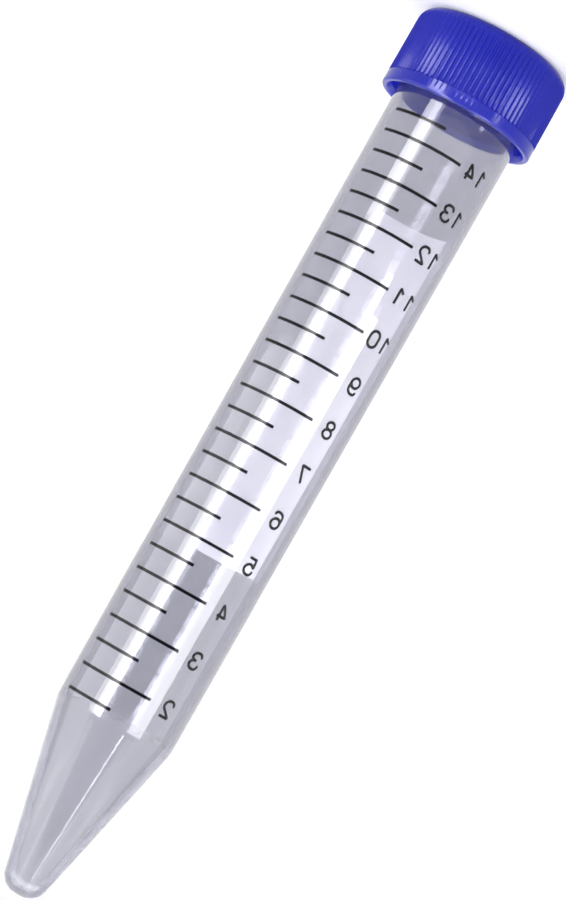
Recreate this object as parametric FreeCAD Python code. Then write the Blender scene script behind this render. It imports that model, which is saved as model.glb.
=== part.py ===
import FreeCAD, Part
import math
import os

# A 15 ml conical centrifuge tube with its screw cap. It stands on the flat top of the cap:
# z = 0 is that face, +Z runs along the axis, and the tip of the cone is the highest point.
# The tube is one moulding and the cap is another. Sizes are in millimetres.

# whole object
overall_length = 120.0          # from the cap's flat top to the tip of the cone

# tube
mouth_diameter = 16.8           # outside, at the lip
shoulder_diameter = 15.6        # outside, where the body turns into the cone
cone_length = 23.6              # from the shoulder to the end of the tip
tip_diameter = 4.75             # outside of the cone, carried on to the end of the tip
shoulder_radius = 6.6           # blend between body and cone, outside
tip_radius = 2.35               # rounding of the blunt tip, outside
mouth_wall = 0.93
shoulder_wall = 0.96
cone_wall = 1.15                # at the bottom of the cone, measured level
tip_floor = 1.6                 # material under the bottom of the cone
inner_shoulder_radius = 6.0
inner_tip_radius = 1.3
lip_chamfer = 0.2

# cap
cap_height = 11.05
cap_roof = 1.4                  # thickness of the cap's top
cap_edge_radius = 1.9           # rounding of the top edge
edge_taper_height = 1.34        # tapered band below that rounding, where the grooves run out
edge_taper_width = 0.87
thread_space = 0.95             # from the tube to the skirt, left for the two threads
skirt_wall = 1.03               # at the open rim
skirt_draft = 0.08              # the skirt is this much thinner at the roof, on the outside
rim_chamfer = 0.3               # outer edge of the open rim
lead_in_height = 0.8            # chamfer inside the open rim
lead_in_width = 0.35

# seal plug, the ring under the roof that enters the tube's mouth
plug_clearance = 0.05           # to the bore, all round
plug_length = 2.7
plug_wall = 0.9
plug_lead_length = 0.9          # tapered nose of the plug
plug_lead_width = 0.3

# grip ribs round the skirt, with a V groove between each two
rib_count = 90
rib_depth = 0.27                # from crest to root
rib_width = 0.34                # of the crest
plain_band = 1.55               # smooth band between the ribs and the open rim
groove_slope = 1.0              # rise over run of the slope that ends a groove
cut_margin = 0.3                # how far the cutting shapes run past the cap

# what follows from them
mouth_r = mouth_diameter / 2
shoulder_r = shoulder_diameter / 2
tip_r = tip_diameter / 2
mouth_z = cap_roof
shoulder_z = overall_length - cone_length
floor_z = overall_length - tip_floor
cone_slope = (shoulder_r - tip_r) / cone_length
inner_mouth_r = mouth_r - mouth_wall
inner_shoulder_r = shoulder_r - shoulder_wall
inner_tip_r = tip_r + cone_slope * tip_floor - cone_wall
skirt_bore_r = mouth_r + thread_space
rim_r = skirt_bore_r + skirt_wall
plug_r = inner_mouth_r - plug_clearance
rib_end_z = cap_height - plain_band


def rounded_profile(corners):
    """A closed face in the XZ plane through (r, z, rounding) corners."""
    points = [FreeCAD.Vector(r, 0, z) for r, z, _ in corners]
    bends = []
    for i, (_, _, rounding) in enumerate(corners):
        corner = points[i]
        back = (points[i - 1] - corner).normalize()
        ahead = (points[(i + 1) % len(points)] - corner).normalize()
        half_angle = back.getAngle(ahead) / 2
        reach = rounding / math.tan(half_angle)
        inset = rounding / math.sin(half_angle) - rounding
        middle = corner + (back + ahead).normalize() * inset
        bends.append((corner + back * reach, middle, corner + ahead * reach))
    edges = []
    for i, (start, middle, end) in enumerate(bends):
        if corners[i][2] > 0:
            edges.append(Part.Arc(start, middle, end).toShape())
        edges.append(Part.makeLine(end, bends[(i + 1) % len(bends)][0]))
    return Part.Face(Part.Wire(edges))


def revolved(corners):
    """The solid that the profile sweeps round the Z axis."""
    return rounded_profile(corners).revolve(FreeCAD.Vector(0, 0, 0), FreeCAD.Vector(0, 0, 1), 360)


def skirt_r(z):
    """Outer radius of the skirt at a height, with its draft."""
    return rim_r - skirt_draft * (cap_height - z) / cap_height


def groove_cutter():
    """The V groove at angle 0. Its section lies on the slope that ends the groove at the plain band,
    and is swept along the skirt's draft until it is clear of the rounded top edge."""
    crest_r = skirt_r(rib_end_z)
    half_opening = math.pi * crest_r / rib_count - rib_width / 2
    spread = half_opening * (rib_depth + cut_margin) / rib_depth
    root = FreeCAD.Vector(crest_r - rib_depth, 0, rib_end_z - groove_slope * rib_depth)
    out_z = rib_end_z + groove_slope * cut_margin
    left = FreeCAD.Vector(crest_r + cut_margin, -spread, out_z)
    right = FreeCAD.Vector(crest_r + cut_margin, spread, out_z)
    height = rib_end_z + cut_margin
    lean = skirt_r(rib_end_z) - skirt_r(-cut_margin)
    section = Part.Face(Part.makePolygon([left, root, right, left]))
    return section.extrude(FreeCAD.Vector(-lean, 0, -height))


def make_tube():
    """Thin-walled body with a slight draft, a solid blunt tip and an open lip."""
    return revolved([
        (inner_mouth_r, mouth_z + lip_chamfer, 0),
        (inner_mouth_r + lip_chamfer, mouth_z, 0),
        (mouth_r - lip_chamfer, mouth_z, 0),
        (mouth_r, mouth_z + lip_chamfer, 0),
        (shoulder_r, shoulder_z, shoulder_radius),
        (tip_r, overall_length, tip_radius),
        (0, overall_length, 0),
        (0, floor_z, 0),
        (inner_tip_r, floor_z, inner_tip_radius),
        (inner_shoulder_r, shoulder_z, inner_shoulder_radius),
    ])


def make_screw_cap():
    """Flat roof, drafted skirt with a lead-in, seal plug, and grip ribs cut into the side."""
    plug_end_z = cap_roof + plug_length
    blank = revolved([
        (0, 0, 0),
        (skirt_r(0) - edge_taper_width, 0, cap_edge_radius),
        (skirt_r(edge_taper_height), edge_taper_height, 0),
        (rim_r, cap_height - rim_chamfer, 0),
        (rim_r - rim_chamfer, cap_height, 0),
        (skirt_bore_r + lead_in_width, cap_height, 0),
        (skirt_bore_r, cap_height - lead_in_height, 0),
        (skirt_bore_r, cap_roof, 0),
        (plug_r, cap_roof, 0),
        (plug_r, plug_end_z - plug_lead_length, 0),
        (plug_r - plug_lead_width, plug_end_z, 0),
        (plug_r - plug_wall, plug_end_z, 0),
        (plug_r - plug_wall, cap_roof, 0),
        (0, cap_roof, 0),
    ])
    grooves = []
    for i in range(rib_count):
        groove = groove_cutter()
        groove.rotate(FreeCAD.Vector(0, 0, 0), FreeCAD.Vector(0, 0, 1), i * 360 / rib_count)
        grooves.append(groove)
    return blank.cut(grooves)


os.makedirs("parts", exist_ok=True)
for node, shape in (("tube", make_tube()), ("screw_cap", make_screw_cap())):
    shape.exportStep("parts/" + node + ".step")
    print(node, "valid", shape.isValid(), "solids", len(shape.Solids), "volume", round(shape.Volume, 2))
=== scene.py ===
import bmesh
import bpy
import math
from mathutils import Matrix, Vector


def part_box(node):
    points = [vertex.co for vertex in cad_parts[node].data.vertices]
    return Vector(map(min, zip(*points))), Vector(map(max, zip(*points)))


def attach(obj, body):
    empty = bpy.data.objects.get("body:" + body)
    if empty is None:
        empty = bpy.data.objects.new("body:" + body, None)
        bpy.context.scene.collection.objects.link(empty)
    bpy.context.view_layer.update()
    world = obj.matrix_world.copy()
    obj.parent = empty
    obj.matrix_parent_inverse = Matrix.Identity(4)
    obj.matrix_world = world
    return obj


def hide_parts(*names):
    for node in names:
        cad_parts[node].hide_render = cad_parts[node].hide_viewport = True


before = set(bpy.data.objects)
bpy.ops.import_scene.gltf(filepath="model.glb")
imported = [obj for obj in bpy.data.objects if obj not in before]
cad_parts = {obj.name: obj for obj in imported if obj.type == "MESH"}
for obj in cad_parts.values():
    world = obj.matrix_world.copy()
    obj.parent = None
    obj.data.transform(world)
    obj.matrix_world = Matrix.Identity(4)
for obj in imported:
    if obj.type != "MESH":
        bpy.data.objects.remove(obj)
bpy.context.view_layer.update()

# A 15 ml conical tube with its screw cap, standing on the cap, in metres. z = 0 is the cap's flat
# top and +Z runs up to the tip of the cone. The printed scale faces -Y.


# ---------------------------------------------------------------------------------------------
# Tube. One injection moulding of slightly hazy polypropylene: a thin wall with a little draft, a cone
# with a solid blunt tip, and a right-handed thread round the neck. The mould is polished along the
# body and duller in the cone.

tube_low, tube_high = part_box("tube")
lip_z = tube_low.z
tip_z = tube_high.z
mouth_r = tube_high.x
shoulder_r = 7.8e-3
tip_r = 2.375e-3
cone_length = 23.6e-3
shoulder_z = tip_z - cone_length
shoulder_rounding = 6.6e-3
tip_rounding = 2.35e-3
body_taper = (shoulder_r - mouth_r) / (shoulder_z - lip_z)

mouth_wall = 0.93e-3
shoulder_wall = 0.96e-3
tip_floor = 1.6e-3
inner_mouth_r = mouth_r - mouth_wall
inner_shoulder_r = shoulder_r - shoulder_wall
inner_shoulder_rounding = 6.0e-3
inner_tip_r = 1.593e-3
inner_tip_rounding = 1.3e-3
floor_z = tip_z - tip_floor
lip_rounding = 0.25e-3

thread_pitch = 3.2e-3
thread_turns = 1.6
neck_thread_z = 3.2e-3              # middle of the ridge where the thread begins
neck_thread_height = 0.6e-3
thread_base_width = 1.3e-3
thread_crest_width = 0.5e-3
thread_fade = 0.12                  # share of a turn in which each end dies away
neck_end_z = 10e-3
neck_rows = 66                      # of mesh, fine enough for the thread's flanks
columns_round = 360


def rounded(corners, step=math.radians(6)):
    """Points of an outline through (across, along, rounding) corners, with an arc at each rounding."""
    points = []
    for i, (across, along, rounding) in enumerate(corners):
        corner = Vector((across, along))
        if rounding == 0:
            points.append(corner)
            continue
        back = (Vector(corners[i - 1][:2]) - corner).normalized()
        ahead = (Vector(corners[(i + 1) % len(corners)][:2]) - corner).normalized()
        half_angle = back.angle(ahead) / 2
        centre = corner + (back + ahead).normalized() * rounding / math.sin(half_angle)
        arm = corner + back * rounding / math.tan(half_angle) - centre
        turn = math.copysign(math.pi - 2 * half_angle, ahead.cross(back))
        steps = max(2, math.ceil(abs(turn) / step))
        for k in range(steps + 1):
            points.append(centre + Matrix.Rotation(turn * k / steps, 2) @ arm)
    return points


def body_r(z):
    """Outer radius of the drafted body at a height."""
    return mouth_r + body_taper * (z - lip_z)


def smooth(share):
    """0 to 1, with a soft start and end."""
    share = min(1.0, max(0.0, share))
    return share * share * (3 - 2 * share)


def neck_thread(angle, z):
    """How far the thread stands off the neck: a blunt ridge that climbs one pitch a turn."""
    turn = angle / (2 * math.pi)
    climb = (z - neck_thread_z) / thread_pitch - turn
    lap = round(climb)
    travel = lap + turn
    off = abs(climb - lap) * thread_pitch
    flank = (thread_base_width / 2 - off) / (thread_base_width / 2 - thread_crest_width / 2)
    fade = min(travel, thread_turns - travel) / thread_fade
    return neck_thread_height * smooth(flank) * smooth(fade)


def turned(name, outline, columns, relief):
    """A closed mesh turned round Z from (r, z) points that begin and end on the axis. Its outside
    attribute is 0 up to the outline's lowest point and 1 after it."""
    shape = bmesh.new()
    outside = shape.verts.layers.float.new("outside")
    lowest = min(range(len(outline)), key=lambda i: outline[i].y)
    rings = []
    for i, (r, z) in enumerate(outline):
        if r == 0:
            pole = shape.verts.new((0, 0, z))
            pole[outside] = i > lowest
            rings.append([pole] * columns)
            continue
        ring = []
        for k in range(columns):
            angle = 2 * math.pi * k / columns
            far = r + relief(r, angle, z)
            vertex = shape.verts.new((far * math.cos(angle), far * math.sin(angle), z))
            vertex[outside] = i > lowest
            ring.append(vertex)
        rings.append(ring)
    for lower, upper in zip(rings, rings[1:]):
        for k in range(columns):
            corners = (lower[k - 1], lower[k], upper[k], upper[k - 1])
            shape.faces.new(dict.fromkeys(corners))    # a pole counts once
    bmesh.ops.recalc_face_normals(shape, faces=shape.faces)
    mesh = bpy.data.meshes.new(name)
    shape.to_mesh(mesh)
    shape.free()
    mesh.shade_smooth()
    piece = bpy.data.objects.new(name, mesh)
    bpy.context.scene.collection.objects.link(piece)
    return piece


def node(tree, kind, inputs=None, **settings):
    """Adds a node: settings are its own options, and inputs are values or links for its sockets."""
    made = tree.nodes.new(kind)
    for option, value in settings.items():
        setattr(made, option, value)
    for socket, value in (inputs or {}).items():
        if isinstance(value, bpy.types.NodeSocket):
            tree.links.new(value, made.inputs[socket])
        else:
            made.inputs[socket].default_value = value
    return made


def calc(tree, operation, *values):
    """The result of a math node on sockets or numbers."""
    return node(tree, "ShaderNodeMath", dict(enumerate(values)), operation=operation).outputs[0]


def material(name):
    """An empty material and its node tree."""
    made = bpy.data.materials.new(name)
    made.use_nodes = True
    made.node_tree.nodes.clear()
    return made, made.node_tree


def finish_material(tree, shader):
    """Sends the shader to the surface."""
    node(tree, "ShaderNodeOutputMaterial", {"Surface": shader.outputs[0]})


def blend(tree, factor, first, second):
    """A colour between two others. A colour mix has them at sockets 6 and 7, and its result at 2."""
    mix = node(tree, "ShaderNodeMix", {"Factor": factor, 6: first, 7: second}, data_type="RGBA")
    return mix.outputs[2]


def tube_relief(r, angle, z):
    """Only the outside of the neck carries the thread."""
    return neck_thread(angle, z) if r > (mouth_r + inner_mouth_r) / 2 else 0.0


def tube_outline():
    """From the bottom of the bore, down the inside to the lip, and up the outside to the tip."""
    outline = rounded([
        (0, floor_z, 0),
        (inner_tip_r, floor_z, inner_tip_rounding),
        (inner_shoulder_r, shoulder_z, inner_shoulder_rounding),
        (inner_mouth_r, lip_z, lip_rounding),
        (mouth_r, lip_z, lip_rounding),
        (body_r(neck_end_z), neck_end_z, 0),
        (shoulder_r, shoulder_z, shoulder_rounding),
        (tip_r, tip_z, tip_rounding),
        (0, tip_z, 0),
    ])
    neck_end = outline.index(Vector((body_r(neck_end_z), neck_end_z)))
    lip, end = outline[neck_end - 1:neck_end + 1]
    outline[neck_end:neck_end] = [lip.lerp(end, k / neck_rows) for k in range(1, neck_rows)]
    return outline


def tube_plastic():
    """Clear polypropylene, a little hazy and grey: glossy on the body and duller on the cone, above
    all on its inside."""
    made, tree = material("tube_plastic")
    place = node(tree, "ShaderNodeTexCoord").outputs["Object"]
    height = node(tree, "ShaderNodeSeparateXYZ", {"Vector": place}).outputs["Z"]
    grain = node(tree, "ShaderNodeTexNoise", {"Vector": place, "Scale": 900.0, "Detail": 4.0})
    ragged = calc(tree, "MULTIPLY_ADD", grain.outputs[0], 3e-3, height)
    outside = node(tree, "ShaderNodeAttribute", attribute_name="outside").outputs["Fac"]
    dullest = calc(tree, "MULTIPLY_ADD", outside, -0.50, 0.62)
    cone = node(tree, "ShaderNodeMapRange", {
        "Value": ragged, "From Min": shoulder_z - 1e-3, "From Max": shoulder_z + 3e-3,
        "To Min": 0.05, "To Max": dullest}, interpolation_type="SMOOTHSTEP")
    clouds = node(tree, "ShaderNodeTexNoise", {"Vector": place, "Scale": 120.0, "Detail": 3.0})
    skin = blend(tree, clouds.outputs[0], (0.35, 0.35, 0.41, 1), (0.395, 0.395, 0.465, 1))
    tint = blend(tree, outside, (0.97, 0.97, 0.98, 1), skin)
    bump = node(tree, "ShaderNodeBump", {
        "Height": clouds.outputs[0], "Strength": 0.02, "Distance": 0.2e-3})
    wall = node(tree, "ShaderNodeBsdfPrincipled", {
        "Base Color": tint, "Roughness": cone.outputs[0], "Transmission Weight": 0.985,
        "IOR": 1.49, "Normal": bump.outputs[0]})
    depth = node(tree, "ShaderNodeVolumeAbsorption", {"Color": (0.75, 0.75, 0.80, 1), "Density": 40.0})
    node(tree, "ShaderNodeOutputMaterial", {"Surface": wall.outputs[0], "Volume": depth.outputs[0]})
    return made


tube = turned("tube_moulding", tube_outline(), columns_round, tube_relief)
tube.data.materials.append(tube_plastic())
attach(tube, "tube")
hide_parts("tube")


# ---------------------------------------------------------------------------------------------
# Screw cap. One injection moulding of blue polyethylene: a flat roof with a rounded edge, a skirt
# with ninety grip ribs and a smooth band at the open rim, a ring under the roof that plugs the
# tube's mouth, and a thread inside the skirt.

cap_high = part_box("screw_cap")[1]
rim_r = min(cap_high.x, cap_high.y)
rim_z = cap_high.z
roof_z = lip_z
roof_middle_r = 4e-3
edge_rounding = 1.9e-3
rim_rounding = 0.3e-3
skirt_draft = 0.08e-3
thread_space = 0.95e-3
skirt_bore_r = mouth_r + thread_space
lead_in_width = 0.35e-3
lead_in_height = 0.8e-3
inner_fillet = 0.3e-3

plug_clearance = 0.05e-3
plug_r = inner_mouth_r - plug_clearance
plug_wall = 0.9e-3
plug_end_z = roof_z + 2.7e-3
plug_lead_width = 0.3e-3
plug_lead_length = 0.9e-3

rib_count = 90
rib_depth = 0.27e-3
groove_shape = 0.65                 # 1 is a plain cosine, and less gives wider grooves and sharper ribs
rim_band = 1.55e-3
rib_end_z = rim_z - rim_band
rib_columns = 12                    # of mesh, from one groove to the next
run_out_rows = 5                    # of mesh, where the grooves die away into the band
cap_thread_height = 0.6e-3
cap_thread_lag = 0.9e-3             # from the tube's thread, on its side away from the lip


def skirt_r(z):
    """Outer radius of the skirt at a height, with its draft."""
    return rim_r - skirt_draft * (rim_z - z) / rim_z


def groove_depth(share, z):
    """Depth of the grooves: share runs from 0 at one groove's root to 1 at the next one's."""
    round_root = (0.5 + 0.5 * math.cos(2 * math.pi * share)) ** groove_shape
    return min(rib_depth * round_root, max(0.0, rib_end_z - z))


def cap_sector():
    """One pitch of the cap, from groove to groove: its whole section, ribbed on the outside."""
    outline = rounded([
        (0, 0, 0),
        (roof_middle_r, 0, 0),
        (skirt_r(0), 0, edge_rounding),
        (rim_r, rim_z, rim_rounding),
        (skirt_bore_r + lead_in_width, rim_z, 0.12e-3),
        (skirt_bore_r, rim_z - lead_in_height, inner_fillet),
        (skirt_bore_r, roof_z, inner_fillet),
        (plug_r, roof_z, 0),
        (plug_r, plug_end_z - plug_lead_length, 0.4e-3),
        (plug_r - plug_lead_width, plug_end_z, 0.2e-3),
        (plug_r - plug_wall, plug_end_z, 0.2e-3),
        (plug_r - plug_wall, roof_z, inner_fillet),
        (0, roof_z, 0),
    ], math.radians(9))
    band = next(i for i, (_, z) in enumerate(outline) if z > rib_end_z)
    heights = [edge_rounding + (rib_end_z - edge_rounding) * share for share in (0.15, 0.85)]
    last = run_out_rows - 1
    heights += [rib_end_z - rib_depth * (last - k) / last for k in range(run_out_rows)]
    outline[band:band] = [Vector((skirt_r(z), z)) for z in heights]
    ribbed = band + len(heights)
    shape = bmesh.new()
    columns = []
    for k in range(rib_columns + 1):
        share = k / rib_columns
        angle = share * 2 * math.pi / rib_count
        column = []
        for i, (r, z) in enumerate(outline):
            if i < ribbed:
                r = min(r, skirt_r(z) - groove_depth(share, z))
            column.append(shape.verts.new((r * math.cos(angle), r * math.sin(angle), z)))
        columns.append(column)
    for near, far in zip(columns, columns[1:]):
        for i in range(len(outline) - 1):
            shape.faces.new((near[i], far[i], far[i + 1], near[i + 1]))
    mesh = bpy.data.meshes.new("cap_sector")
    shape.to_mesh(mesh)
    shape.free()
    return mesh


def node_tree(name, sizes):
    """A geometry tree with the named inputs, and its sockets for links."""
    tree = bpy.data.node_groups.new(name, "GeometryNodeTree")
    tree.interface.new_socket("Geometry", in_out="INPUT", socket_type="NodeSocketGeometry")
    tree.interface.new_socket("Geometry", in_out="OUTPUT", socket_type="NodeSocketGeometry")
    for title, (kind, _) in sizes.items():
        tree.interface.new_socket(title, in_out="INPUT", socket_type=kind)
    return tree, tree.nodes.new("NodeGroupInput").outputs


def grown(name, start, tree, sizes):
    """Runs the tree on a mesh or a curve, and keeps the result as a plain mesh object. A mesh that
    starts without a material leaves an empty slot, which is dropped."""
    seed = bpy.data.objects.new(name + "_seed", start)
    bpy.context.scene.collection.objects.link(seed)
    modifier = seed.modifiers.new(tree.name, "NODES")
    modifier.node_group = tree
    for socket in tree.interface.items_tree:
        if socket.name in sizes:
            modifier[socket.identifier] = sizes[socket.name][1]
    graph = bpy.context.evaluated_depsgraph_get()
    mesh = bpy.data.meshes.new_from_object(seed.evaluated_get(graph))
    mesh.name = name
    if mesh.materials[0] is None:
        mesh.materials.pop(index=0)
    bpy.data.objects.remove(seed)
    piece = bpy.data.objects.new(name, mesh)
    bpy.context.scene.collection.objects.link(piece)
    return piece


def cap_plastic():
    """Blue polyethylene with the satin grain of its mould."""
    made, tree = material("cap_plastic")
    place = node(tree, "ShaderNodeTexCoord").outputs["Object"]
    grain = node(tree, "ShaderNodeTexNoise", {"Vector": place, "Scale": 2500.0, "Detail": 3.0})
    flow = node(tree, "ShaderNodeTexNoise", {"Vector": place, "Scale": 150.0, "Detail": 2.0})
    colour = blend(tree, flow.outputs[0], (0.012, 0.017, 0.40, 1), (0.018, 0.025, 0.48, 1))
    shine = node(tree, "ShaderNodeMapRange", {"Value": grain.outputs[0], "To Min": 0.13, "To Max": 0.20})
    bump = node(tree, "ShaderNodeBump", {
        "Height": grain.outputs[0], "Strength": 0.15, "Distance": 0.02e-3})
    shader = node(tree, "ShaderNodeBsdfPrincipled", {
        "Base Color": colour, "Roughness": shine.outputs[0], "Specular IOR Level": 0.3,
        "Normal": bump.outputs[0]})
    finish_material(tree, shader)
    return made


def cap_tree(sizes):
    """Repeats the sector round the axis, welds the seams and winds the thread into the skirt."""
    tree, given = node_tree("ribbed_cap", sizes)
    points = node(tree, "GeometryNodePoints", {"Count": given["Rib Count"]})
    index = node(tree, "GeometryNodeInputIndex").outputs[0]
    angle = calc(tree, "DIVIDE", calc(tree, "MULTIPLY", index, 2 * math.pi), given["Rib Count"])
    turn = node(tree, "ShaderNodeCombineXYZ", {"Z": angle})
    ring = node(tree, "GeometryNodeInstanceOnPoints", {
        "Points": points.outputs[0], "Instance": given["Geometry"], "Rotation": turn.outputs[0]})
    whole = node(tree, "GeometryNodeRealizeInstances", {"Geometry": ring.outputs[0]})
    welded = node(tree, "GeometryNodeMergeByDistance", {"Geometry": whole.outputs[0], "Distance": 2e-6})

    helix = node(tree, "GeometryNodeCurveSpiral", {
        "Resolution": 72, "Rotations": given["Thread Turns"], "Start Radius": given["Bore Radius"],
        "End Radius": given["Bore Radius"],
        "Height": calc(tree, "MULTIPLY", given["Thread Pitch"], given["Thread Turns"]), "Reverse": True})
    share = node(tree, "GeometryNodeSplineParameter").outputs["Factor"]
    from_end = calc(tree, "MINIMUM", share, calc(tree, "SUBTRACT", 1.0, share))
    fade = calc(tree, "DIVIDE", calc(tree, "MULTIPLY", from_end, given["Thread Turns"]), thread_fade)
    swell = calc(tree, "MAXIMUM", calc(tree, "MINIMUM", fade, 1.0), 0.02)
    faded = node(tree, "GeometryNodeSetCurveRadius", {"Curve": helix.outputs[0], "Radius": swell})
    upright = node(tree, "GeometryNodeSetCurveNormal", {"Curve": faded.outputs[0]}, mode="Z_UP")
    section = node(tree, "GeometryNodeCurvePrimitiveQuadrilateral", {
        "Height": calc(tree, "MULTIPLY", given["Thread Height"], 2.0), "Offset": 0.0,
        "Bottom Width": given["Thread Base"], "Top Width": given["Thread Crest"]}, mode="TRAPEZOID")
    inward = node(tree, "GeometryNodeTransform", {
        "Geometry": section.outputs[0], "Rotation": (0, 0, math.radians(90))})
    ridge = node(tree, "GeometryNodeCurveToMesh", {
        "Curve": upright.outputs[0], "Profile Curve": inward.outputs[0], "Fill Caps": True})
    lifted = node(tree, "GeometryNodeTransform", {
        "Geometry": ridge.outputs[0],
        "Translation": node(tree, "ShaderNodeCombineXYZ", {"Z": given["Thread Start"]}).outputs[0]})
    both = node(tree, "GeometryNodeJoinGeometry")
    tree.links.new(lifted.outputs[0], both.inputs[0])
    tree.links.new(welded.outputs[0], both.inputs[0])
    joined = node(tree, "GeometryNodeRealizeInstances", {"Geometry": both.outputs[0]})
    done = node(tree, "GeometryNodeSetMaterial", {
        "Geometry": joined.outputs[0], "Material": given["Material"]})
    node(tree, "NodeGroupOutput", {"Geometry": done.outputs[0]})
    return tree


cap_sizes = {
    "Rib Count": ("NodeSocketInt", rib_count),
    "Bore Radius": ("NodeSocketFloat", skirt_bore_r),
    "Thread Height": ("NodeSocketFloat", cap_thread_height),
    "Thread Base": ("NodeSocketFloat", thread_base_width),
    "Thread Crest": ("NodeSocketFloat", thread_crest_width),
    "Thread Pitch": ("NodeSocketFloat", thread_pitch),
    "Thread Turns": ("NodeSocketFloat", thread_turns),
    "Thread Start": ("NodeSocketFloat", neck_thread_z + cap_thread_lag),
    "Material": ("NodeSocketMaterial", cap_plastic()),
}
cap = grown("cap_moulding", cap_sector(), cap_tree(cap_sizes), cap_sizes)
cap.data.set_sharp_from_angle(angle=math.radians(40))
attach(cap, "cap")
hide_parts("screw_cap")


# ---------------------------------------------------------------------------------------------
# Scale lines. Black ink, printed on the outside of the wall while the tube turns under a screen: a
# long line at each whole millilitre and a short one at each half, from 1.5 to 14.5 ml, closer
# together towards the wide mouth.

ink_thickness = 0.04e-3             # half of it bites into the wall
line_count = 27
lowest_volume = 1.5
volume_step = 0.5
z_at_14_ml = 16.90e-3
line_step = 5.745e-3                # from one millilitre to the next at the mouth
line_step_growth = 0.040e-3
line_width = 0.40e-3
line_start = math.radians(57.8)     # from the -Y side towards +X
long_line_end = math.radians(-22.8)
short_line_end = math.radians(3.6)
print_lean = math.radians(0.068) / 1e-3             # twist of the print for each metre of height

wall_sizes = {
    "Lip Radius": ("NodeSocketFloat", mouth_r),
    "Lip Height": ("NodeSocketFloat", lip_z),
    "Taper": ("NodeSocketFloat", body_taper),
    "Lean": ("NodeSocketFloat", print_lean),
    "Lean From": ("NodeSocketFloat", z_at_14_ml),
}


def wrap_group(sizes):
    """Lays flat artwork round the body: X becomes the angle, Y the height and Z the depth."""
    tree, given = node_tree("wrap_on_body", sizes)
    drawn = node(tree, "GeometryNodeInputPosition").outputs[0]
    flat = node(tree, "ShaderNodeSeparateXYZ", {"Vector": drawn}).outputs
    rise = calc(tree, "SUBTRACT", flat["Y"], given["Lip Height"])
    wall = calc(tree, "MULTIPLY_ADD", rise, given["Taper"], given["Lip Radius"])
    far = calc(tree, "ADD", wall, flat["Z"])
    lean = calc(tree, "MULTIPLY", calc(tree, "SUBTRACT", flat["Y"], given["Lean From"]), given["Lean"])
    angle = calc(tree, "ADD", flat["X"], lean)
    across = calc(tree, "MULTIPLY", far, calc(tree, "SINE", angle))
    front = calc(tree, "MULTIPLY", far, calc(tree, "COSINE", angle))
    place = node(tree, "ShaderNodeCombineXYZ", {
        "X": across, "Y": calc(tree, "MULTIPLY", front, -1.0), "Z": flat["Y"]})
    moved = node(tree, "GeometryNodeSetPosition", {
        "Geometry": given["Geometry"], "Position": place.outputs[0]})
    node(tree, "NodeGroupOutput", {"Geometry": moved.outputs[0]})
    return tree


wrap = wrap_group(wall_sizes)


def wrapped(tree, geometry, given):
    """Artwork laid on the wall with the tree's own inputs, and given its ink."""
    laid = node(tree, "GeometryNodeGroup", {}, node_tree=wrap)
    tree.links.new(geometry, laid.inputs["Geometry"])
    for title in wall_sizes:
        tree.links.new(given[title], laid.inputs[title])
    whole = node(tree, "GeometryNodeRealizeInstances", {"Geometry": laid.outputs[0]})
    inked = node(tree, "GeometryNodeSetMaterial", {
        "Geometry": whole.outputs[0], "Material": given["Ink"]})
    node(tree, "NodeGroupOutput", {"Geometry": inked.outputs[0]})


def black_ink():
    """Black screen-printing ink, a little thin in places."""
    made, tree = material("scale_ink")
    place = node(tree, "ShaderNodeTexCoord").outputs["Object"]
    speckle = node(tree, "ShaderNodeTexNoise", {"Vector": place, "Scale": 4000.0, "Detail": 3.0})
    colour = blend(tree, speckle.outputs[0], (0.003, 0.003, 0.005, 1), (0.010, 0.010, 0.014, 1))
    dull = node(tree, "ShaderNodeMapRange", {
        "Value": speckle.outputs[0], "To Min": 0.04, "To Max": 0.08})
    shader = node(tree, "ShaderNodeBsdfPrincipled", {
        "Base Color": colour, "Roughness": dull.outputs[0], "Specular IOR Level": 0.18})
    finish_material(tree, shader)
    return made


def line_tree(sizes):
    """One bar for each graduation, as long as its volume asks, laid on the wall."""
    tree, given = node_tree("scale_lines", sizes)
    index = node(tree, "GeometryNodeInputIndex").outputs[0]
    volume = calc(tree, "MULTIPLY_ADD", index, volume_step, given["Lowest Volume"])
    below = calc(tree, "SUBTRACT", 14.0, volume)
    growth = calc(tree, "MULTIPLY", calc(tree, "MULTIPLY", below, below), given["Step Growth"])
    even = calc(tree, "MULTIPLY_ADD", below, given["Step"], given["Height at 14 ml"])
    height = calc(tree, "ADD", even, growth)
    half = calc(tree, "GREATER_THAN", calc(tree, "FRACT", calc(tree, "ADD", volume, 0.001)), 0.25)
    reach = calc(tree, "SUBTRACT", given["Short End"], given["Long End"])
    end = calc(tree, "MULTIPLY_ADD", half, reach, given["Long End"])
    middle = calc(tree, "MULTIPLY", calc(tree, "ADD", given["Start"], end), 0.5)
    points = node(tree, "GeometryNodePoints", {
        "Count": given["Line Count"],
        "Position": node(tree, "ShaderNodeCombineXYZ", {"X": middle, "Y": height}).outputs[0]})
    bar = node(tree, "GeometryNodeMeshCube", {
        "Size": (1, 1, 1), "Vertices X": 40, "Vertices Y": 2, "Vertices Z": 2})
    length = calc(tree, "SUBTRACT", given["Start"], end)
    size = node(tree, "ShaderNodeCombineXYZ", {
        "X": length, "Y": given["Line Width"], "Z": given["Ink Thickness"]})
    bars = node(tree, "GeometryNodeInstanceOnPoints", {
        "Points": points.outputs[0], "Instance": bar.outputs[0], "Scale": size.outputs[0]})
    whole = node(tree, "GeometryNodeRealizeInstances", {"Geometry": bars.outputs[0]})
    wrapped(tree, whole.outputs[0], given)
    return tree


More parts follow.
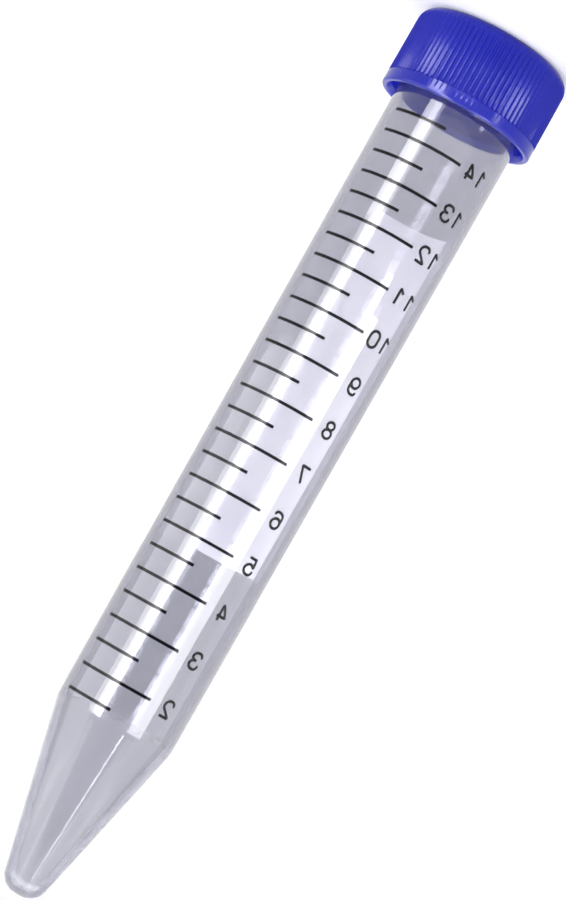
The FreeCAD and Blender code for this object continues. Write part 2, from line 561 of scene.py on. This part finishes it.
scale_ink = black_ink()
line_sizes = {
    **wall_sizes,
    "Line Count": ("NodeSocketInt", line_count),
    "Lowest Volume": ("NodeSocketFloat", lowest_volume),
    "Height at 14 ml": ("NodeSocketFloat", z_at_14_ml),
    "Step": ("NodeSocketFloat", line_step),
    "Step Growth": ("NodeSocketFloat", line_step_growth),
    "Start": ("NodeSocketFloat", line_start),
    "Long End": ("NodeSocketFloat", long_line_end),
    "Short End": ("NodeSocketFloat", short_line_end),
    "Line Width": ("NodeSocketFloat", line_width),
    "Ink Thickness": ("NodeSocketFloat", ink_thickness),
    "Ink": ("NodeSocketMaterial", scale_ink),
}
lines = grown("scale_lines", bpy.data.meshes.new("empty"), line_tree(line_sizes), line_sizes)
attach(lines, "tube")


# ---------------------------------------------------------------------------------------------
# Numerals. Thin upright figures in the same black ink, printed with the lines and beside the long
# ones, 2 to 14, with their heads towards the cap. They have one stroke width, and read mirrored.

digit_width = 1.38e-3
digit_height = 2.10e-3
digit_advance = math.radians(14.3)
stroke_width = 0.37e-3
numeral_middle = math.radians(-41.9)

# Each stroke is a list of corners: shares of the width and height, and a rounding as a share of
# the width. A stroke that ends with "closed" joins up.
strokes = {
    "0": [[(0, 0, 0.5), (1, 0, 0.5), (1, 1, 0.5), (0, 1, 0.5), "closed"]],
    "1": [[(0.15, 0.74, 0), (0.62, 1, 0.05), (0.62, 0, 0)]],
    "2": [[(0, 0.80, 0), (0, 1, 0.34), (0.96, 1, 0.48), (0.96, 0.55, 0.40), (0, 0, 0.05), (1, 0, 0)]],
    "3": [[(0, 0.83, 0), (0, 1, 0.3), (0.95, 1, 0.44), (0.95, 0.53, 0.36), (0.4, 0.53, 0)],
          [(0.4, 0.53, 0), (1, 0.53, 0.44), (1, 0, 0.46), (0, 0, 0.4), (0, 0.20, 0)]],
    "4": [[(0.74, 0, 0), (0.74, 1, 0.05), (0, 0.28, 0.05), (1, 0.28, 0)]],
    "5": [[(0.94, 1, 0), (0.16, 1, 0.05), (0.04, 0.48, 0.05), (0.4, 0.64, 0.3), (1, 0.64, 0.5),
           (1, 0, 0.5), (0, 0, 0.4), (0, 0.18, 0)]],
    "6": [[(0.95, 0.84, 0), (0.95, 1, 0.25), (0, 1, 0.5), (0, 0.3, 0)],
          [(0, 0, 0.49), (1, 0, 0.49), (1, 0.61, 0.49), (0, 0.61, 0.49), "closed"]],
    "7": [[(0, 1, 0), (1, 1, 0.05), (0.35, 0, 0)]],
    "8": [[(0, 0, 0.46), (1, 0, 0.46), (1, 0.54, 0.46), (0, 0.54, 0.46), "closed"],
          [(0.06, 0.54, 0.40), (0.94, 0.54, 0.40), (0.94, 1, 0.40), (0.06, 1, 0.40), "closed"]],
    "9": [[(0.05, 0.16, 0), (0.05, 0, 0.25), (1, 0, 0.5), (1, 0.7, 0)],
          [(1, 1, 0.49), (0, 1, 0.49), (0, 0.39, 0.49), (1, 0.39, 0.49), "closed"]],
}


def line_height(volume):
    """Height of a graduation on the body."""
    below = 14 - volume
    return z_at_14_ml + below * line_step + below ** 2 * line_step_growth


def numeral_artwork():
    """All the figures as flat strokes: X is the angle round the body and Y the height."""
    artwork = bpy.data.curves.new("numerals", "CURVE")
    for volume in range(2, 15):
        text = str(volume)
        z = line_height(volume)
        for place, digit in enumerate(text):
            middle = numeral_middle + (place - (len(text) - 1) / 2) * digit_advance
            for stroke in strokes[digit]:
                closed = stroke[-1] == "closed"
                corners = [(x * digit_width, y * digit_height, bend * digit_width)
                           for x, y, bend in stroke[:len(stroke) - closed]]
                points = rounded(corners, math.radians(12))
                # Arcs that meet share a point, which is kept once.
                points = [p for i, p in enumerate(points) if (p - points[i - 1]).length > 1e-6]
                spline = artwork.splines.new("POLY")
                spline.use_cyclic_u = closed
                spline.points.add(len(points) - 1)
                for point, (x, y) in zip(spline.points, points):
                    angle = (x - digit_width / 2) / body_r(z) + middle
                    point.co = (angle, z - y + digit_height / 2, 0, 1)
    return artwork


def numeral_tree(sizes):
    """Gives the strokes their width, at their true proportions, and lays them on the wall."""
    tree, given = node_tree("scale_numerals", sizes)
    stretch = node(tree, "ShaderNodeCombineXYZ", {"X": given["Lip Radius"], "Y": 1.0, "Z": 1.0})
    real = node(tree, "GeometryNodeTransform", {
        "Geometry": given["Geometry"], "Scale": stretch.outputs[0]})
    fine = node(tree, "GeometryNodeSubdivideCurve", {"Curve": real.outputs[0], "Cuts": 3})
    flat = node(tree, "GeometryNodeSetCurveNormal", {"Curve": fine.outputs[0]}, mode="Z_UP")
    section = node(tree, "GeometryNodeCurvePrimitiveQuadrilateral", {
        "Width": given["Stroke Width"], "Height": given["Ink Thickness"]}, mode="RECTANGLE")
    swept = node(tree, "GeometryNodeCurveToMesh", {
        "Curve": flat.outputs[0], "Profile Curve": section.outputs[0], "Fill Caps": True})
    shrink = node(tree, "ShaderNodeCombineXYZ", {
        "X": calc(tree, "DIVIDE", 1.0, given["Lip Radius"]), "Y": 1.0, "Z": 1.0})
    art = node(tree, "GeometryNodeTransform", {
        "Geometry": swept.outputs[0], "Scale": shrink.outputs[0]})
    wrapped(tree, art.outputs[0], given)
    return tree


numeral_sizes = {
    **wall_sizes,
    "Stroke Width": ("NodeSocketFloat", stroke_width),
    "Ink Thickness": ("NodeSocketFloat", ink_thickness),
    "Ink": ("NodeSocketMaterial", scale_ink),
}
numerals = grown("scale_numerals", numeral_artwork(), numeral_tree(numeral_sizes), numeral_sizes)
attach(numerals, "tube")


# ---------------------------------------------------------------------------------------------
# Write-on panel. A plain field of white frosted ink, printed through a screen on the side away
# from the scale. It takes a pencil, and its edges are straight.

panel_start = math.radians(158)
panel_end = math.radians(244)
panel_low_z = 24.2e-3
panel_high_z = 72.8e-3


def white_ink():
    """White ink with a fine tooth that takes a pencil."""
    made, tree = material("panel_ink")
    place = node(tree, "ShaderNodeTexCoord").outputs["Object"]
    tooth = node(tree, "ShaderNodeTexNoise", {"Vector": place, "Scale": 6000.0, "Detail": 4.0})
    colour = blend(tree, tooth.outputs[0], (0.90, 0.89, 0.87, 1), (0.94, 0.93, 0.91, 1))
    dull = node(tree, "ShaderNodeMapRange", {"Value": tooth.outputs[0], "To Min": 0.6, "To Max": 0.8})
    bump = node(tree, "ShaderNodeBump", {
        "Height": tooth.outputs[0], "Strength": 0.3, "Distance": 0.01e-3})
    shader = node(tree, "ShaderNodeBsdfPrincipled", {
        "Base Color": colour, "Roughness": dull.outputs[0], "Normal": bump.outputs[0]})
    finish_material(tree, shader)
    return made


def panel_tree(sizes):
    """One slab of ink, laid on the wall."""
    tree, given = node_tree("write_on_panel", sizes)
    size = node(tree, "ShaderNodeCombineXYZ", {
        "X": calc(tree, "SUBTRACT", given["End"], given["Start"]),
        "Y": calc(tree, "SUBTRACT", given["High"], given["Low"]), "Z": given["Ink Thickness"]})
    slab = node(tree, "GeometryNodeMeshCube", {
        "Size": size.outputs[0], "Vertices X": 60, "Vertices Y": 20, "Vertices Z": 2})
    middle = node(tree, "ShaderNodeCombineXYZ", {
        "X": calc(tree, "MULTIPLY", calc(tree, "ADD", given["End"], given["Start"]), 0.5),
        "Y": calc(tree, "MULTIPLY", calc(tree, "ADD", given["High"], given["Low"]), 0.5)})
    placed = node(tree, "GeometryNodeTransform", {
        "Geometry": slab.outputs[0], "Translation": middle.outputs[0]})
    wrapped(tree, placed.outputs[0], given)
    return tree


panel_sizes = {
    **wall_sizes,
    "Lean": ("NodeSocketFloat", 0.0),
    "Start": ("NodeSocketFloat", panel_start),
    "End": ("NodeSocketFloat", panel_end),
    "Low": ("NodeSocketFloat", panel_low_z),
    "High": ("NodeSocketFloat", panel_high_z),
    "Ink Thickness": ("NodeSocketFloat", ink_thickness),
    "Ink": ("NodeSocketMaterial", white_ink()),
}
panel = grown("write_on_panel", bpy.data.meshes.new("empty"), panel_tree(panel_sizes), panel_sizes)
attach(panel, "tube")


# ---------------------------------------------------------------------------------------------
# Table, light and camera. The closed tube stands on its cap on a white table in a white tent, as
# for a catalogue picture. Upright strip lamps close to the tube draw the long highlights, small
# ones in front the glints on the cap, and large soft ones above and beside fill the gloss.

table_reach = 3.0
soft_white = 0.95                   # the tent's light on soft surfaces
white_through_wall = 13.0           # more of it for soft surfaces behind the wall
strip_distance = 45e-3
cap_lamp_distance = 28e-3
high_lamp_distance = 0.45
high_lamp_target_z = 0.06
high_lamp_size = 0.35
side_panel_distance = 0.5
side_panel_size = 0.5
side_panel_z = 0.10
camera_distance = 347.72e-3
camera_height = 84.34e-3
camera_lens = 113.41
pan = -0.004319                     # pan, tilt and roll are in radians
tilt = 0.078158
roll = -0.514417


def white_seen_directly(tree):
    """1 for what the eye meets straight, in a gloss or through the wall, and 0 for soft light."""
    path = node(tree, "ShaderNodeLightPath").outputs
    seen = calc(tree, "MAXIMUM", path["Is Camera Ray"], path["Is Glossy Ray"])
    return calc(tree, "MAXIMUM", seen, path["Is Transmission Ray"])


def white_table():
    """A wide white table top."""
    made, tree = material("white_table")
    place = node(tree, "ShaderNodeTexCoord").outputs["Object"]
    fleck = node(tree, "ShaderNodeTexNoise", {"Vector": place, "Scale": 300.0})
    colour = blend(tree, fleck.outputs[0], (0.86, 0.86, 0.86, 1), (0.90, 0.90, 0.90, 1))
    top = node(tree, "ShaderNodeBsdfDiffuse", {"Color": colour})
    straight = node(tree, "ShaderNodeLightPath").outputs["Is Camera Ray"]
    share = calc(tree, "MULTIPLY_ADD", straight, 0.14, 0.20)
    glow = node(tree, "ShaderNodeEmission", {
        "Color": (1, 1, 1, 1), "Strength": calc(tree, "MULTIPLY", white_seen_directly(tree), share)})
    both = node(tree, "ShaderNodeAddShader", {0: top.outputs[0], 1: glow.outputs[0]})
    finish_material(tree, both)
    mesh = bpy.data.meshes.new("table")
    reach = table_reach
    corners = [(-reach, -reach, 0), (reach, -reach, 0), (reach, reach, 0), (-reach, reach, 0)]
    mesh.from_pydata(corners, [], [(0, 1, 2, 3)])
    mesh.materials.append(made)
    table = bpy.data.objects.new("table", mesh)
    bpy.context.scene.collection.objects.link(table)


def white_tent():
    """The world: white, with a dark opening on the -Y side, where the camera looks in. Only a
    gloss shows the opening. What lies behind the wall is lit through it as brightly as outside."""
    world = bpy.data.worlds.new("tent")
    bpy.context.scene.world = world
    world.use_nodes = True
    tree = world.node_tree
    tree.nodes.clear()
    strength = node(tree, "ShaderNodeMapRange", {
        "Value": white_seen_directly(tree), "To Min": soft_white, "To Max": 1.0})
    outward = node(tree, "ShaderNodeTexCoord").outputs["Generated"]
    front = node(tree, "ShaderNodeSeparateXYZ", {"Vector": outward}).outputs["Y"]
    opening = node(tree, "ShaderNodeMapRange", {
        "Value": front, "From Min": -0.82, "From Max": -0.91, "To Min": 0.0, "To Max": 0.9})
    path = node(tree, "ShaderNodeLightPath").outputs
    dark = calc(tree, "MULTIPLY", opening.outputs[0], calc(tree, "MINIMUM", path["Glossy Depth"], 1.0))
    seen = calc(tree, "MULTIPLY", strength.outputs[0], calc(tree, "SUBTRACT", 1.0, dark))
    scattered = calc(tree, "MINIMUM", path["Diffuse Depth"], 1.0)
    inside = calc(tree, "MULTIPLY", scattered, path["Is Transmission Ray"])
    lit = calc(tree, "MULTIPLY_ADD", inside, white_through_wall, seen)
    sky = node(tree, "ShaderNodeBackground", {"Color": (1, 1, 1, 1), "Strength": lit})
    node(tree, "ShaderNodeOutputWorld", {"Surface": sky.outputs[0]})


def area_lamp(name, azimuth, rise, target_z, distance, width, tall, radiance):
    """A flat lamp that faces a point on the axis, from an azimuth counted from -Y towards +X
    and an angle above the level, both in degrees. The camera doesn't see it."""
    azimuth = math.radians(azimuth)
    rise = math.radians(rise)
    data = bpy.data.lights.new(name, "AREA")
    data.shape = "RECTANGLE"
    data.size = width
    data.size_y = tall
    data.energy = radiance * math.pi * width * tall
    lamp = bpy.data.objects.new(name, data)
    level = Vector((math.sin(azimuth), -math.cos(azimuth), 0)) * math.cos(rise)
    out = level + Vector((0, 0, math.sin(rise)))
    lamp.location = out * distance + Vector((0, 0, target_z))
    lamp.rotation_euler = out.to_track_quat("Z", "Y").to_euler()
    lamp.visible_camera = False
    bpy.context.scene.collection.objects.link(lamp)
    return lamp


def gloss_lamp(*place_and_size):
    """A lamp that only a gloss shows, on the wall or within it, and never straight through it. It
    takes what area_lamp takes."""
    lamp = area_lamp(*place_and_size)
    lamp.visible_diffuse = False
    lamp.data.use_nodes = True
    tree = lamp.data.node_tree
    tree.nodes.clear()
    depth = node(tree, "ShaderNodeLightPath").outputs["Glossy Depth"]
    glow = node(tree, "ShaderNodeEmission", {
        "Color": (1, 1, 1, 1), "Strength": calc(tree, "MINIMUM", depth, 1.0)})
    node(tree, "ShaderNodeOutputLight", {"Surface": glow.outputs[0]})
    return lamp


def strip_lamp(name, start, end, low, high, radiance):
    """An upright strip close to the tube, between two azimuths and two heights."""
    width = 2 * strip_distance * math.tan(math.radians(abs(end - start) / 2))
    place = ((start + end) / 2, 0, (low + high) / 2, strip_distance)
    gloss_lamp(name, *place, width, high - low, radiance)


def cap_lamp(name, azimuth, z, width, tall, radiance):
    """A small lamp just in front of the cap, which draws a row of glints."""
    gloss_lamp(name, azimuth, 0, z, cap_lamp_distance, width, tall, radiance)


def high_lamp(name, azimuth, rise, width, radiance):
    """A large soft lamp that looks down on the tube."""
    place = (azimuth, rise, high_lamp_target_z, high_lamp_distance)
    gloss_lamp(name, *place, width, high_lamp_size, radiance)


def side_glow(name, azimuth, radiance):
    """A large soft panel beside the tube, which shows only in the gloss of the wall."""
    place = (azimuth, 0, side_panel_z, side_panel_distance)
    lamp = gloss_lamp(name, *place, side_panel_size, side_panel_size, radiance)
    lamp.visible_transmission = False


white_table()
white_tent()
strip_lamp("left_foot_glow", 51, 41, 0.3e-3, 22e-3, 10.0)
strip_lamp("left_foot", 41, 30, 0.3e-3, 22e-3, 14.0)
strip_lamp("left_foot_inner", 30, 25, 0.3e-3, 22e-3, 4.0)
strip_lamp("left_glow", 50, 43, 22e-3, 105e-3, 5.0)
strip_lamp("left_edge", 43, 36.5, 22e-3, 105e-3, 12.0)
strip_lamp("left", 36.5, 25.5, 22e-3, 105e-3, 20.0)
strip_lamp("right_foot", -46, -40, 0.3e-3, 4.5e-3, 10.0)
strip_lamp("right_inner", -37, -25, 28e-3, 105e-3, 9.0)
strip_lamp("right", -51, -37, 34e-3, 105e-3, 9.0)
strip_lamp("right_top", -25, -23.6, 112e-3, 150e-3, 45.0)
side_glow("left_wall", 75, 2.6)
side_glow("right_wall", -75, 1.8)
cap_lamp("low_front", 4, 2.5e-3, 13e-3, 4.2e-3, 12.0)
cap_lamp("left_glint", 36, 6.2e-3, 8e-3, 2e-3, 8.0)
cap_lamp("right_glint", -43, 6.2e-3, 6e-3, 2e-3, 3.0)
cap_lamp("rim_front", 0, 11e-3, 0.06, 5e-3, 0.8)
high_lamp("high_front", 0, 60, 0.6, 3.0)
high_lamp("high_left", 60, 50, high_lamp_size, 3.0)
high_lamp("high_right", -60, 50, high_lamp_size, 2.5)
fill_place = (8, 10, high_lamp_target_z, high_lamp_distance)
fill = area_lamp("soft_front", *fill_place, high_lamp_size, high_lamp_size, 1.0)
fill.visible_glossy = False
fill.visible_transmission = False

# The camera starts level and upside down, so that the cap is on top, and then pans, tilts and rolls.
ahead = Vector((0, 1, 0))
up = Vector((0, 0, -1))
right = ahead.cross(up)
ahead.rotate(Matrix.Rotation(pan, 3, up))
right.rotate(Matrix.Rotation(pan, 3, up))
ahead.rotate(Matrix.Rotation(tilt, 3, right))
up.rotate(Matrix.Rotation(tilt, 3, right))
right.rotate(Matrix.Rotation(roll, 3, ahead))
up.rotate(Matrix.Rotation(roll, 3, ahead))
camera_data = bpy.data.cameras.new("camera")
camera_data.lens = camera_lens
camera_data.clip_start = 0.01
camera = bpy.data.objects.new("camera", camera_data)
axes = Matrix((right, up, -ahead)).transposed()
camera.matrix_world = Matrix.Translation((0, -camera_distance, camera_height)) @ axes.to_4x4()
bpy.context.scene.collection.objects.link(camera)
bpy.context.scene.camera = camera
bpy.context.scene.view_settings.view_transform = "Standard"
